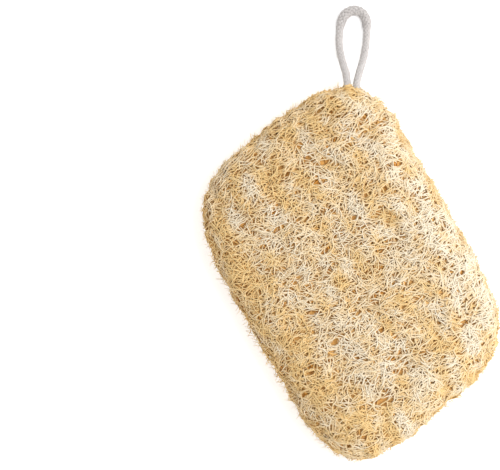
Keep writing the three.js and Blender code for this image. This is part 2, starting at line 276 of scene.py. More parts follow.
# %% A mesh from flat lists
def mesh_object(name, vertices, corners, counts, bake_map, facts, places, material):
    """A smooth mesh in metres from flat lists, with its map for baking and its facts."""
    mesh = bpy.data.meshes.new(name)
    mesh.vertices.add(len(vertices))
    mesh.vertices.foreach_set("co", (vertices * MM).astype(np.float32).ravel())
    mesh.loops.add(len(corners))
    mesh.loops.foreach_set("vertex_index", corners.astype(np.int32))
    mesh.polygons.add(len(counts))
    first = np.concatenate([[0], np.cumsum(counts)[:-1]])
    mesh.polygons.foreach_set("loop_start", first.astype(np.int32))
    mesh.polygons.foreach_set("use_smooth", np.ones(len(counts), bool))
    mesh.update(calc_edges=True)
    mesh.uv_layers.new(name="OFBake", do_init=False)
    mesh.uv_layers["OFBake"].uv.foreach_set("vector", bake_map.astype(np.float32).ravel())
    for fact, values in facts.items():
        layer = mesh.attributes.new(fact, "FLOAT", "POINT")
        layer.data.foreach_set("value", values.astype(np.float32))
    layer = mesh.attributes.new("fibre_place", "FLOAT_VECTOR", "POINT")
    layer.data.foreach_set("vector", places.astype(np.float32).ravel())
    mesh.materials.append(material)
    piece = bpy.data.objects.new(name, mesh)
    bpy.context.scene.collection.objects.link(piece)
    triangles = int((counts - 2).sum())
    print(f"{name}: {triangles} triangles")
    return piece


# %% [markdown]
# ## What the finishes are made of
#
# Loofah fibre and cotton are both plant fibre, and both show fine streaks that run along the
# fibre. Painting them on each surface would need pictures. Here the streaks come from a noise
# that is stretched along the tube, read from the fibre's own place, so they follow every bend.
# Both materials use the same group of nodes, each with its own values.

# %% A helper for node trees
def add_node(tree, kind, inputs=None, **settings):
    """A node of this kind with its settings, and its inputs given as values or as outputs."""
    node = tree.nodes.new(kind)
    for name, value in settings.items():
        setattr(node, name, value)
    for name, value in (inputs or {}).items():
        if isinstance(value, bpy.types.NodeSocket):
            tree.links.new(value, node.inputs[name])
        else:
            node.inputs[name].default_value = value
    return node


def math_node(tree, operation, a, b=0.0, clamp=False):
    """The result of one sum."""
    node = add_node(tree, "ShaderNodeMath", {0: a, 1: b}, operation=operation, use_clamp=clamp)
    return node.outputs[0]


def mix_colours(tree, share, a, b):
    """A colour that runs from a to b as share runs from 0 to 1."""
    node = add_node(tree, "ShaderNodeMix", data_type="RGBA")
    for name, value in ((0, share), (6, a), (7, b)):
        if isinstance(value, bpy.types.NodeSocket):
            tree.links.new(value, node.inputs[name])
        else:
            node.inputs[name].default_value = value
    return node.outputs[2]


def new_group(name, inputs, outputs):
    """A node group with named inputs and outputs, and its two end nodes."""
    tree = bpy.data.node_groups.new(name, "ShaderNodeTree")
    kinds = {"value": "NodeSocketFloat", "colour": "NodeSocketColor", "place": "NodeSocketVector"}
    for sockets, way in ((inputs, "INPUT"), (outputs, "OUTPUT")):
        for label, kind in sockets.items():
            tree.interface.new_socket(label, in_out=way, socket_type=kinds[kind])
    return tree, tree.nodes.new("NodeGroupInput"), tree.nodes.new("NodeGroupOutput")


# %% Streaks that run along a fibre
streaks, given, result = new_group(
    "streaks_along_fibre",
    {"Place": "place", "Length": "value", "Fineness": "value"},
    {"Streak": "value", "Blotch": "value"},
)
parts = add_node(streaks, "ShaderNodeSeparateXYZ", {0: given.outputs["Place"]})
along = math_node(streaks, "DIVIDE", parts.outputs[0], given.outputs["Length"])
round_it = [
    math_node(streaks, "MULTIPLY", parts.outputs[i], given.outputs["Fineness"]) for i in (1, 2)
]
stretched = add_node(
    streaks, "ShaderNodeCombineXYZ", {0: along, 1: round_it[0], 2: round_it[1]}
)
fine = add_node(
    streaks,
    "ShaderNodeTexNoise",
    {"Vector": stretched.outputs[0], "Scale": 1.0, "Detail": 3.0, "Roughness": 0.6},
)
blotch_place = add_node(streaks, "ShaderNodeCombineXYZ", {0: along})
blotch = add_node(
    streaks,
    "ShaderNodeTexNoise",
    {"Vector": blotch_place.outputs[0], "Scale": 0.45, "Detail": 1.0},
)
streaks.links.new(fine.outputs[0], result.inputs["Streak"])
streaks.links.new(blotch.outputs[0], result.inputs["Blotch"])
print("group made:", streaks.name)


# %% [markdown]
# ## The loofah's finish
#
# Dried loofah is pale straw where light has bleached it and golden brown deeper in. The colour
# of a spot comes from three things: how deep the fibre lies, how pale this fibre is, and the
# streaks along it. Browning with depth is partly the inner fibres' own colour and partly painted
# shade, added to the real shadow between the fibres.
# The inner fibres use the same finish with other colours. Their tone says how near the middle
# of a larger pit they lie, so their "pale" is a painted orange glow: painted light for the warm
# light seen in those pits.

# %% Colour from depth, tone and streaks
STREAK_GAIN = 0.6  # how much a fine streak changes the tone
BLOTCH_GAIN = 0.7  # how much the tone wanders along a fibre
# painted shade: the streaks also shift how much depth shade is painted
STREAK_SHADE_UNEVEN = 0.3  # how much the streaks change the depth

straw_and_shade, given, result = new_group(
    "straw_with_painted_depth_shade",
    {
        "Depth": "value",
        "Full shade depth": "value",
        "Tone": "value",
        "Streak": "value",
        "Blotch": "value",
        "Pale": "colour",
        "Golden": "colour",
        "Brown": "colour",
    },
    {"Colour": "colour"},
)
uneven = math_node(straw_and_shade, "SUBTRACT", given.outputs["Streak"], 0.5)
uneven = math_node(straw_and_shade, "MULTIPLY", uneven, STREAK_GAIN)
uneven_far = math_node(straw_and_shade, "SUBTRACT", given.outputs["Blotch"], 0.5)
uneven_far = math_node(straw_and_shade, "MULTIPLY", uneven_far, BLOTCH_GAIN)
pale_share = math_node(straw_and_shade, "ADD", given.outputs["Tone"], uneven)
pale_share = math_node(straw_and_shade, "ADD", pale_share, uneven_far, clamp=True)
straw = mix_colours(straw_and_shade, pale_share, given.outputs["Golden"], given.outputs["Pale"])
streak_shade = math_node(straw_and_shade, "MULTIPLY", uneven, STREAK_SHADE_UNEVEN)
# Painted shade: the deeper a fibre lies, the more its straw turns to the shade brown.
painted_shade_share = math_node(straw_and_shade, "DIVIDE", given.outputs["Depth"], given.outputs["Full shade depth"])
painted_shade_share = math_node(straw_and_shade, "ADD", painted_shade_share, streak_shade, clamp=True)
colour = mix_colours(straw_and_shade, painted_shade_share, straw, given.outputs["Brown"])
straw_and_shade.links.new(colour, result.inputs["Colour"])
print("group made:", straw_and_shade.name)


# %% A finish for the fibres
def fibre_material(name, pale, golden, shade_brown, full_shade_depth, roughness, streak_length):
    """A loofah finish: straw darkened by depth as painted shade, with streaks that also dent the
    surface.
    """
    material = bpy.data.materials.new(name)
    material.use_nodes = True
    tree = material.node_tree
    shader = tree.nodes["Principled BSDF"]
    place = add_node(tree, "ShaderNodeAttribute", attribute_name="fibre_place")
    depth = add_node(tree, "ShaderNodeAttribute", attribute_name="fibre_depth")
    tone = add_node(tree, "ShaderNodeAttribute", attribute_name="fibre_tone")
    streak = add_node(tree, "ShaderNodeGroup", node_tree=streaks)
    tree.links.new(place.outputs["Vector"], streak.inputs["Place"])
    streak.inputs["Length"].default_value = streak_length
    streak.inputs["Fineness"].default_value = 1.3
    straw = add_node(tree, "ShaderNodeGroup", node_tree=straw_and_shade)
    tree.links.new(depth.outputs["Fac"], straw.inputs["Depth"])
    tree.links.new(tone.outputs["Fac"], straw.inputs["Tone"])
    tree.links.new(streak.outputs["Streak"], straw.inputs["Streak"])
    tree.links.new(streak.outputs["Blotch"], straw.inputs["Blotch"])
    straw.inputs["Full shade depth"].default_value = full_shade_depth
    for label, colour in (("Pale", pale), ("Golden", golden), ("Brown", shade_brown)):
        straw.inputs[label].default_value = (*colour, 1)
    tree.links.new(straw.outputs["Colour"], shader.inputs["Base Color"])
    bump = add_node(tree, "ShaderNodeBump", {"Strength": 0.5, "Distance": 0.04 * MM})
    tree.links.new(streak.outputs["Streak"], bump.inputs["Height"])
    tree.links.new(bump.outputs[0], shader.inputs["Normal"])
    shader.inputs["Roughness"].default_value = roughness
    shader.inputs["Specular IOR Level"].default_value = 0.35
    return material


# %% The outer and the inner finish
# The browns are what depth turns the straw to: partly the fibres' own colour, partly painted shade.
PALE_STRAW = (0.908, 0.815, 0.643)
GOLDEN_STRAW = (0.865, 0.625, 0.295)
DEEP_SHADE_BROWN = (0.84, 0.50, 0.155)
INNER_STRAW = (0.86, 0.53, 0.19)
INNER_SHADE_BROWN = (0.76, 0.42, 0.12)
# painted light: the orange glow inside the larger pits
PIT_PAINTED_GLOW = (0.70, 0.29, 0.03)

outer_finish = fibre_material(
    "loofah_outer_fibre", PALE_STRAW, GOLDEN_STRAW, DEEP_SHADE_BROWN,
    full_shade_depth=3.15, roughness=0.62, streak_length=3.0
)
# Inside, the pale end is the pits' painted orange glow and the brown end painted depth shade.
inner_finish = fibre_material(
    "loofah_inner_fibre", PIT_PAINTED_GLOW, INNER_STRAW, INNER_SHADE_BROWN,
    full_shade_depth=4.2, roughness=0.75, streak_length=2.0
)
print("finishes made:", outer_finish.name, "and", inner_finish.name)

# %% [markdown]
# ## The cotton's finish
#
# The cord is bleached cotton: nearly white, dull and a little fluffy. Its colours here are a
# pinkish grey, well below white, as painted shade for the soft shade the cord lies in. The yarns
# show their own fine threads, which the same streak group gives with shorter, finer streaks. A
# yarn's depth is how far it dips under the others, and it darkens the grooves of the braid a
# little as painted shade.

# %% White cotton, greyed as painted shade
# painted shade: both cotton colours are greyed well below white cotton
COTTON_LIGHT = (0.67, 0.638, 0.622, 1)
COTTON_SHADE = (0.515, 0.477, 0.458, 1)
THREAD_CONTRAST = 1.2
GROOVE_SHADE = 1.0

cotton = bpy.data.materials.new("white_cotton_yarn")
cotton.use_nodes = True
tree = cotton.node_tree
shader = tree.nodes["Principled BSDF"]
place = add_node(tree, "ShaderNodeAttribute", attribute_name="fibre_place")
threads = add_node(tree, "ShaderNodeGroup", node_tree=streaks)
tree.links.new(place.outputs["Vector"], threads.inputs["Place"])
threads.inputs["Length"].default_value = 1.6
threads.inputs["Fineness"].default_value = 4.0
under = add_node(tree, "ShaderNodeAttribute", attribute_name="fibre_depth")
# Painted shade: yarns darken where they dip under the others, in the braid's grooves.
painted_groove_shade = math_node(tree, "MULTIPLY", under.outputs["Fac"], -GROOVE_SHADE)
bright = math_node(tree, "MULTIPLY", threads.outputs["Streak"], THREAD_CONTRAST)
bright = math_node(tree, "ADD", bright, painted_groove_shade, clamp=True)
white = mix_colours(tree, bright, COTTON_SHADE, COTTON_LIGHT)
tree.links.new(white, shader.inputs["Base Color"])
bump = add_node(tree, "ShaderNodeBump", {"Strength": 0.8, "Distance": 0.08 * MM})
tree.links.new(threads.outputs["Streak"], bump.inputs["Height"])
tree.links.new(bump.outputs[0], shader.inputs["Normal"])
shader.inputs["Roughness"].default_value = 0.85
shader.inputs["Specular IOR Level"].default_value = 0.2
shader.inputs["Sheen Weight"].default_value = 0.25
print("finish made:", cotton.name)

# %% [markdown]
# ## The hanging loop's route
#
# The loop is one cotton cord. Both of its ends go into the pad at one corner and meet in a knot
# inside, so it can't pull out. From the rim the cord bends down under its own weight and lies on
# the surface in a narrow loop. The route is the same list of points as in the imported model, in
# metres, in a frame of its own: across the loop, out of the corner, and up.

# %% The points of the route
LOOP_ROOT = (0.0407, 0.0682)
LOOP_ROUTE = [
    (-0.00185, -0.0164, 0.0106),
    (-0.00185, -0.010, 0.0106),
    (-0.00185, -0.004, 0.0106),
    (-0.00195, 0.0005, 0.0103),
    (-0.0024, 0.0046, 0.0087),
    (-0.0034, 0.0084, 0.0061),
    (-0.0044, 0.0122, 0.0036),
    (-0.0051, 0.0162, 0.0021),
    (-0.0053, 0.0198, 0.00175),
    (-0.0051, 0.0234, 0.00175),
    (-0.0046, 0.0266, 0.00175),
    (-0.0035, 0.0295, 0.00175),
    (-0.0015, 0.0316, 0.00175),
    (0.0012, 0.0324, 0.00175),
    (0.0039, 0.0317, 0.00175),
    (0.0057, 0.0297, 0.00175),
    (0.0065, 0.0268, 0.00175),
    (0.0066, 0.0234, 0.00175),
    (0.0064, 0.0198, 0.00175),
    (0.0060, 0.0162, 0.0021),
    (0.0052, 0.0122, 0.0036),
    (0.0041, 0.0084, 0.0061),
    (0.0029, 0.0046, 0.0087),
    (0.0020, 0.0005, 0.0103),
    (0.00185, -0.004, 0.0106),
    (0.00185, -0.010, 0.0106),
    (0.00185, -0.0164, 0.0106),
]


# %% A smooth line through points
def smooth_line(points, steps):
    """A smooth curve through points, with evenly spaced points on it: a centripetal spline."""
    points = np.asarray(points, float)
    ends = 2 * points[[0, -1]] - points[[1, -2]]
    points = np.concatenate([ends[:1], points, ends[1:]])
    curve = []
    for p0, p1, p2, p3 in zip(points, points[1:], points[2:], points[3:]):
        d0, d1, d2 = (math.sqrt(np.linalg.norm(b - a)) for a, b in ((p0, p1), (p1, p2), (p2, p3)))
        leave = ((p1 - p0) / d0 - (p2 - p0) / (d0 + d1) + (p2 - p1) / d1) * d1
        arrive = ((p2 - p1) / d1 - (p3 - p1) / (d1 + d2) + (p3 - p2) / d2) * d1
        t = np.linspace(0, 1, 24, endpoint=False)[:, None]
        curve.append(
            (2 * t**3 - 3 * t**2 + 1) * p1
            + (t**3 - 2 * t**2 + t) * leave
            + (3 * t**2 - 2 * t**3) * p2
            + (t**3 - t**2) * arrive
        )
    curve = np.concatenate([*curve, points[-2:-1]])
    run = along_path(curve[None])[0]
    at = np.linspace(0, run[-1], steps)
    return np.stack([np.interp(at, run, curve[:, k]) for k in range(3)], axis=1)


def from_loop_frame(points):
    """Points given across the loop, out of the corner and up, in the part's own frame."""
    points = np.asarray(points, float)
    root = np.array([*LOOP_ROOT, 0])
    return root + points[..., :1] * picture_right + points[..., 1:2] * picture_up + (
        points[..., 2:] * [0, 0, 1]
    )


# %% The cord's middle line
cord_line = smooth_line(from_loop_frame(LOOP_ROUTE), 210)

# %% [markdown]
# ## Braiding the cord
#
# A braided cord is two sets of yarns that wind round a core in opposite ways and pass over and
# under each other at every crossing. A plain tube with a pattern would look painted on. Winding
# real yarns costs little: each is a flat tube on a helix round the cord's middle line, and its
# distance from that line swings out and in, with the two sets in turn. The loop's tip is worn:
# the yarns spread sideways there, and more fluff stands off them.

# %% Wind the yarns
YARNS_EACH_WAY = 6
BRAID_LEAD = 11.0
YARN_RADIUS = 1.22
YARN_SWING = 0.14
YARN_THICK = 0.34
YARN_WIDE = 0.6
CORE_RADIUS = 1.05


def line_frame(line):
    """For each point of a line: the way along it, and two ways across it that don't twist."""
    way = unit(np.gradient(line, axis=0))
    across = np.empty_like(line)
    across[0] = unit(np.cross(way[0], [0, 0, 1]))
    for i in range(1, len(line)):
        across[i] = unit(across[i - 1] - way[i] * (across[i - 1] @ way[i]))
    return way, across, np.cross(way, across)


def braid(line, frayed=0.0):
    """The yarns of a braid round a line, in millimetres, as one batch of tubes, and their core."""
    way, across, rise = line_frame(line)
    sideways = 1 + np.outer(np.broadcast_to(frayed, len(line)), [1, 1, 0])
    run = along_path(line[None])[0]
    crossing = BRAID_LEAD / (2 * YARNS_EACH_WAY)
    paths, outward, swings = [], [], []
    for turn in (1, -1):
        for yarn in range(YARNS_EACH_WAY):
            angle = turn * 2 * math.pi * run / BRAID_LEAD + yarn / YARNS_EACH_WAY * 2 * math.pi
            swing = turn * YARN_SWING * np.cos(math.pi * run / crossing + math.pi * yarn)
            out = np.cos(angle)[:, None] * across + np.sin(angle)[:, None] * rise
            swings.append(swing)
            paths.append(line + out * (YARN_RADIUS + swing)[:, None] * sideways)
            outward.append(out)
    yarns = tube_batch(
        np.array(paths),
        np.array(outward),
        (YARN_THICK + YARN_WIDE) / 2,
        sides=6,
        flatness=2 * YARN_THICK / (YARN_THICK + YARN_WIDE),
        depth=YARN_SWING - np.array(swings),
        point=0.3,
    )
    core = tube_batch(line[None], rise[None], CORE_RADIUS, sides=10, point=0.3)
    return [yarns, core]


# %% Lay the fluff
FLUFF_START = 1.45
FLUFF_LENGTHS = (0.35, 1.15)
FLUFF_LEAN, FLUFF_SLIP, FLUFF_LIFT = 1.4, 0.9, 0.42
FLUFF_RADII = (0.045, 0.04, 0.03, 0.015)


def cotton_fluff(line, hairs, rng, frayed):
    """Short loose hairs that stand off a cord, mostly lying along it."""
    way, across, rise = line_frame(line)
    at = rng.integers(2, len(line) - 2, hairs)
    angle = rng.uniform(0, 2 * math.pi, hairs)[:, None]
    out = np.cos(angle) * across[at] + np.sin(angle) * rise[at]
    beside = np.cross(way[at], out)
    lean = rng.uniform(-1, 1, (hairs, 1)) * FLUFF_LEAN
    slip = rng.uniform(-1, 1, (hairs, 1)) * FLUFF_SLIP
    length = rng.uniform(*FLUFF_LENGTHS, (hairs, 1))
    sideways = 1 + np.outer(frayed[at], [1, 1, 0])
    paths = []
    for share in (0, 0.35, 0.7, 1):
        lift = math.sin(share * 1.9) * FLUFF_LIFT
        step = line[at] + out * (FLUFF_START + lift * length) * sideways
        step = step + way[at] * lean * length * share
        paths.append(step + beside * slip * length * share**2)
    paths = np.stack(paths, 1)
    paths[..., 2] = np.maximum(paths[..., 2], 0.05)
    outward = np.repeat(out[:, None], len(FLUFF_RADII), 1)
    return tube_batch(paths, outward, np.array(FLUFF_RADII), sides=3, tone=1.0)


# %% Make the loop
TIP_FRAYED = 0.36  # how much wider the cord is at the loop's tip
FRAYED_FROM, FRAYED_TO = 23, 28  # where along the loop it gets wider, from the pad's corner
FLUFF_HAIRS, TIP_FLUFF_HAIRS = 1300, 500

cord_in_mm = cord_line / MM
from_corner = (cord_in_mm - np.array([*LOOP_ROOT, 0]) / MM) @ picture_up
frayed = np.interp(from_corner, (FRAYED_FROM, FRAYED_TO), (0, TIP_FRAYED))
tip = np.flatnonzero(frayed > 0.05)
loop_batches = braid(cord_in_mm, frayed)
for part, hairs, seed in ((slice(None), FLUFF_HAIRS, 11), (tip, TIP_FLUFF_HAIRS, 12)):
    fluff_rng = np.random.default_rng(seed)
    loop_batches.append(cotton_fluff(cord_in_mm[part], hairs, fluff_rng, frayed[part]))
hanging_loop = tubes_object("cotton_loop", loop_batches, cotton)
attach(hanging_loop, "root")
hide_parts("hanging_loop")

# %% [markdown]
# ## The knot inside the pad
#
# The photo doesn't show the knot, but something has to hold the two ends. A double overhand knot
# is the usual one: the cord's two ends wind round each other in a short barrel. Here it is the
# same braided cord on a tight helix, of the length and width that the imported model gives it.

# %% Wind the knot
KNOT_START, KNOT_END = -18.4, -24.0
KNOT_HEIGHT = 10.6
KNOT_TURNS = 2.2
KNOT_HELIX = 2.55

share = np.linspace(0, 1, 60)
turn = share * KNOT_TURNS * 2 * math.pi
knot_points = np.stack(
    [
        KNOT_HELIX * np.cos(turn),
        KNOT_START + (KNOT_END - KNOT_START) * share,
        KNOT_HEIGHT + KNOT_HELIX * np.sin(turn),
    ],
    axis=1,
)
knot_line = from_loop_frame(knot_points * MM) / MM
cotton_knot = tubes_object("cotton_knot", braid(knot_line), cotton)
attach(cotton_knot, "root")
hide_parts("loop_knot")

# %% [markdown]
# ## The pad's form
#
# The fibres need a skin to lie on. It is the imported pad's own smooth form as a formula: a value
# that is 1 on the skin and grows outwards. Its outline is a rounded rectangle with slanted ends,
# its faces are nearly flat and its rim is round. With a formula, any point can be dropped onto
# the skin, and its slope says which way is out.

# %% The skin as a formula
MIDDLE_LENGTH = 143.5
END_SLANT = 0.135
CORNER_POWER = 4.26
CORNER_SWING = 0.49
FACE_POWER = 6
EDGE_POWER = 2.2


def outline_radius(angle):
    """How far the rim is from the middle, before the ends are slanted."""
    power = CORNER_POWER + CORNER_SWING * np.sin(2 * angle)
    across = np.abs(np.cos(angle) / (PAD_WIDTH / 2)) ** power
    lengthways = np.abs(np.sin(angle) / (MIDDLE_LENGTH / 2)) ** power
    return (across + lengthways) ** (-1 / power)


def form_value(points):
    """1 on the skin, less inside and more outside."""
    x, y, z = points[..., 0], points[..., 1], points[..., 2] - RIM_HEIGHT
    straight = y - END_SLANT * x
    share = np.hypot(x, straight) / outline_radius(np.arctan2(straight, x))
    rise = np.where(z > 0, PAD_THICKNESS - RIM_HEIGHT, RIM_HEIGHT)
    return share**FACE_POWER + np.abs(z / rise) ** EDGE_POWER


# %% Drop points onto the skin
def form_slope(points, reach=0.02):
    """How the value changes along x, y and z."""
    axes = np.eye(3) * reach
    return np.stack(
        [(form_value(points + axis) - form_value(points - axis)) / (2 * reach) for axis in axes],
        axis=-1,
    )


def onto_skin(points, tries=2):
    """The points moved straight in or out until they lie on the skin, and the ways out there."""
    for _ in range(tries):
        slope = form_slope(points)
        gain = (1 - form_value(points))[..., None] / np.maximum(
            (slope**2).sum(-1, keepdims=True), 1e-8
        )
        move = slope * gain
        size = np.linalg.norm(move, axis=-1, keepdims=True)
        points = points + move * np.minimum(1, 2 / np.maximum(size, 1e-9))
    return points, unit(form_slope(points))


# %% A grid of points on the skin
def skin_grid(columns, rows):
    """Points of the whole skin in a grid: round the pad, and from the upper middle to the lower."""
    angle = np.arange(columns) / columns * 2 * math.pi
    turn = np.linspace(0, math.pi, 2001)
    reach = np.abs(np.sin(turn)) ** (2 / FACE_POWER)
    height = np.sign(np.cos(turn)) * np.abs(np.cos(turn)) ** (2 / EDGE_POWER)
    section = np.stack([reach * PAD_WIDTH / 2, height * PAD_THICKNESS / 2], axis=1)
    run = along_path(section[None])[0]
    even = np.linspace(0, run[-1], rows)
    reach, height = (np.interp(even, run, part)[:, None] for part in (reach, height))
    far = outline_radius(angle) * reach
    x, y = far * np.cos(angle), far * np.sin(angle)
    rise = np.where(height > 0, PAD_THICKNESS - RIM_HEIGHT, RIM_HEIGHT)
    z = RIM_HEIGHT + rise * height + 0 * angle
    return np.stack([x, y + END_SLANT * x, z], axis=-1)


SKIN_SAMPLES = skin_grid(240, 161)
print("the skin's box:", SKIN_SAMPLES.min((0, 1)).round(1), SKIN_SAMPLES.max((0, 1)).round(1))

# %% [markdown]
# ## Laying fibres on the skin
#
# In the photo the fibres mostly run across the pad, as they ran round the gourd, and wander a
# lot. The gourd's inside had stouter fibres that ran along it, so the underside has those. Only
# on the steep middle of the rim do fibres turn to follow the edge: most of them cross it. Each
# fibre leans from the grain by a share of its own and by one that its neighbours have too, so
# that some lie side by side in locks. A fibre is walked step by step: turn a little, step on,
# drop back onto the skin. Thousands are walked at once, as one array.

# %% The way of the grain
OUTER_GRAIN = math.radians(-2)
INNER_GRAIN = math.radians(84)
OWN_LEAN, SHARED_LEAN = 0.85, 0.5
LOCK_WAVES = 16

lock_rng = np.random.default_rng(2)
LOCK_WAYS = unit(lock_rng.normal(0, 1, (LOCK_WAVES, 3))) * 2 * math.pi
LOCK_LENGTHS = lock_rng.uniform(7, 22, LOCK_WAVES)


def smooth_step(low, high, value):
    """0 below low, 1 above high, and smooth between them."""
    share = np.clip((value - low) / (high - low), 0, 1)
    return share * share * (3 - 2 * share)


def grain_at(normals, before=None):
    """The way of the grain on the skin, where the ways out are normals, and the way across it."""
    angle = np.where(normals[..., 2] > 0, OUTER_GRAIN, INNER_GRAIN)
    flat = np.stack([np.cos(angle), np.sin(angle), 0 * angle], -1)
    flat = flat - normals * (flat * normals).sum(-1, keepdims=True)
    edge = unit(np.cross([0, 0, 1], normals) + [1e-6, 0, 0])
    edge = edge * np.where((edge * flat).sum(-1, keepdims=True) < 0, -1, 1)
    on_face = smooth_step(0.0, 0.45, np.abs(normals[..., 2]))[..., None]
    grain = unit(flat * on_face + edge * (1 - on_face))
    if before is not None:
        grain = grain * np.where((grain * before).sum(-1, keepdims=True) < 0, -1, 1)
    return grain, np.cross(normals, grain)


# %% Points spread over the skin
def spread_points(count, rng):
    """Points spread evenly over the whole skin."""
    beside = np.roll(SKIN_SAMPLES, -1, 1)
    corners = [SKIN_SAMPLES[:-1], SKIN_SAMPLES[1:], beside[1:], beside[:-1]]
    a, b, c, d = (corner.reshape(-1, 3) for corner in corners)
    area = np.linalg.norm(np.cross(c - a, d - b), axis=1) / 2
    edges = np.cumsum(area)
    at = (np.arange(count) + rng.random(count)) / count * edges[-1]
    cell = np.minimum(np.searchsorted(edges, at), len(area) - 1)
    u, v = rng.random((2, count, 1))
    points = (a[cell] * (1 - u) + d[cell] * u) * (1 - v) + (b[cell] * (1 - u) + c[cell] * u) * v
    return onto_skin(points)


beside = np.roll(SKIN_SAMPLES, -1, 1)
diagonals = beside[1:] - SKIN_SAMPLES[:-1], beside[:-1] - SKIN_SAMPLES[1:]
skin_area = np.linalg.norm(np.cross(*diagonals), axis=-1).sum() / 2
print(f"the skin has {skin_area / 100:.0f} square centimetres")


# %% Walk the fibres
def walk(count, points, step, rng, spread, wander, wave, where=None):
    """Fibres of that many points on the skin, and the ways out along them."""
    place, normal = spread_points(count, rng)
    if where is not None:
        keep = where(place, normal)
        place, normal = place[keep], normal[keep]
    count = len(place)
    grain, _ = grain_at(normal)
    lean = rng.normal(0, OWN_LEAN, count) + SHARED_LEAN * shared_lean(place, rng)
    lean = lean * spread_of(place, spread)
    phase, second = rng.uniform(0, 2 * math.pi, (2, count))
    length = rng.uniform(*wave, count)
    turn = rng.uniform(0.5, 1.3, count) * math.radians(wander)
    paths, normals = [place], [normal]
    for i in range(1, points):
        grain, across = grain_at(normal, grain)
        run = i * step * 2 * math.pi
        angle = lean + turn * np.sin(run / length + phase)
        angle = angle + turn * 0.5 * np.sin(run / length * 1.9 + second)
        way = np.cos(angle)[:, None] * grain + np.sin(angle)[:, None] * across
        place, normal = onto_skin(place + way * step, tries=1)
        paths.append(place)
        normals.append(normal)
    return np.stack(paths, 1), np.stack(normals, 1)


def shared_lean(place, rng):
    """A lean that neighbours share, so that they lie side by side in locks: about 1 either way."""
    starts = rng.uniform(0, 2 * math.pi, LOCK_WAVES)
    waves = np.cos(place @ (LOCK_WAYS / LOCK_LENGTHS[:, None]).T + starts)
    return waves.sum(-1) * math.sqrt(2 / LOCK_WAVES)


def spread_of(place, spread):
    """How far fibres lean from the grain: least at the loop's end, more towards the other."""
    down = smooth_step(60, -40, place[:, 1])
    return np.radians(spread[0] + (spread[1] - spread[0]) * down)


# %% [markdown]
# ## Lumps, pits and pale patches
#
# A pressed loofah isn't even. It is a little lumpy, its rim stands out in tufts where it was
# cut, it has small pits where fibres part, and parts of it are bleached nearly white. The pale and
# golden patches are partly that bleaching and partly painted light and shade, and the skin is
# painted paler towards the right of the picture as painted light. The lumps are a few long waves
# added together, and shorter ones ripple the rim. A pit pushes the fibres that cross it aside, so
# they crowd round its rim as real ones do, and the larger pits get a painted orange glow inside.
# The larger tufts, pits and patches are set where the photo has them, and the small pits are
# spread by a seeded draw.

# %% Lumps and tufts
LUMP_WAVES = 14
LUMP_MEAN, LUMP_GAIN, LUMP_MOST = 0.55, 0.14, 1.2

wave_rng = np.random.default_rng(3)
LUMP_WAYS = unit(wave_rng.normal(0, 1, (LUMP_WAVES, 3))) * 2 * math.pi
LUMP_LENGTHS = wave_rng.uniform(9, 26, LUMP_WAVES)
LUMP_STARTS = wave_rng.uniform(0, 2 * math.pi, LUMP_WAVES)


def lumps(points):
    """How far the skin is sunk by its lumps, in millimetres."""
    waves = np.cos(points @ (LUMP_WAYS / LUMP_LENGTHS[:, None]).T + LUMP_STARTS)
    return np.clip(LUMP_MEAN + waves.sum(-1) * LUMP_GAIN, 0, LUMP_MOST)


# each tuft's bearing in degrees, its reach in millimetres, and half its width in degrees
RIM_TUFTS = [
    (-43, 1.5, 9),
    (-23, 0.8, 5),
    (-6, 0.6, 4),
    (45, 1.6, 5),
    (-98, 0.8, 9),
    (67, -1.7, 9),
]
RIM_TRIM = -0.35
RIM_FROM, RIM_TO = 0.84, 0.99  # shares of the way from the middle to the skin's outline
RIPPLE_GAIN, RIPPLE_FINENESS = 0.14, 2.8


def rim_swell(points):
    """How far the rim stands out in tufts, or in, in millimetres: nothing away from the rim."""
    x, straight = points[..., 0], points[..., 1] - END_SLANT * points[..., 0]
    share = np.hypot(x, straight) / outline_radius(np.arctan2(straight, x))
    bearing = np.degrees(np.arctan2(points[..., 1], x))
    swell = RIM_TRIM + 0 * x
    for at, reach, width in RIM_TUFTS:
        swell = swell + reach * np.exp(-(((bearing - at) / width) ** 2))
    short = points @ (LUMP_WAYS / LUMP_LENGTHS[:, None] * RIPPLE_FINENESS).T + LUMP_STARTS
    swell = swell + RIPPLE_GAIN * np.cos(short).sum(-1)
    return swell * smooth_step(RIM_FROM, RIM_TO, share)


print(f"{len(RIM_TUFTS)} tufts on the rim")

# %% Pale and golden patches, partly bleaching and partly painted light and shade
# each patch's middle, and its reach across and along the pad, in millimetres
PALE_PATCHES = [
    ((-20, 45), (7, 24)),
    ((-19, 5), (7, 20)),
    ((-14, -38), (8, 22)),
    ((37, 42), (6, 17)),
    ((11, 25), (7, 6)),
    ((28, 4), (8, 7)),
    ((41, -6), (8, 20)),
    ((42, -34), (7, 12)),
    ((32, -48), (8, 6)),
]
GOLDEN_PATCHES = [
    ((-42, 30), (9, 16)),
    ((-44, -22), (11, 28)),
    ((-28, -60), (15, 10)),
    ((-10, 46), (7, 12)),
    ((28, 66), (16, 6)),
    ((30, 30), (4, 14)),
    ((14, -1), (5, 5)),
    ((20, -22), (6, 6)),
    ((17, -44), (7, 7)),
    ((14, -65), (10, 5)),
    ((38, -60), (10, 9)),
    ((-29, -12), (5, 8)),
]
# painted light: the skin is painted paler towards the right of the picture, where the light comes
# from
PALE_MEAN, PAINTED_LIGHT_TO_THE_RIGHT = 0.44, 0.2
PALE_WAVES, PALE_FINENESS = 0.1, 1.6
PALE_GAIN, GOLDEN_GAIN = 0.4, -0.45


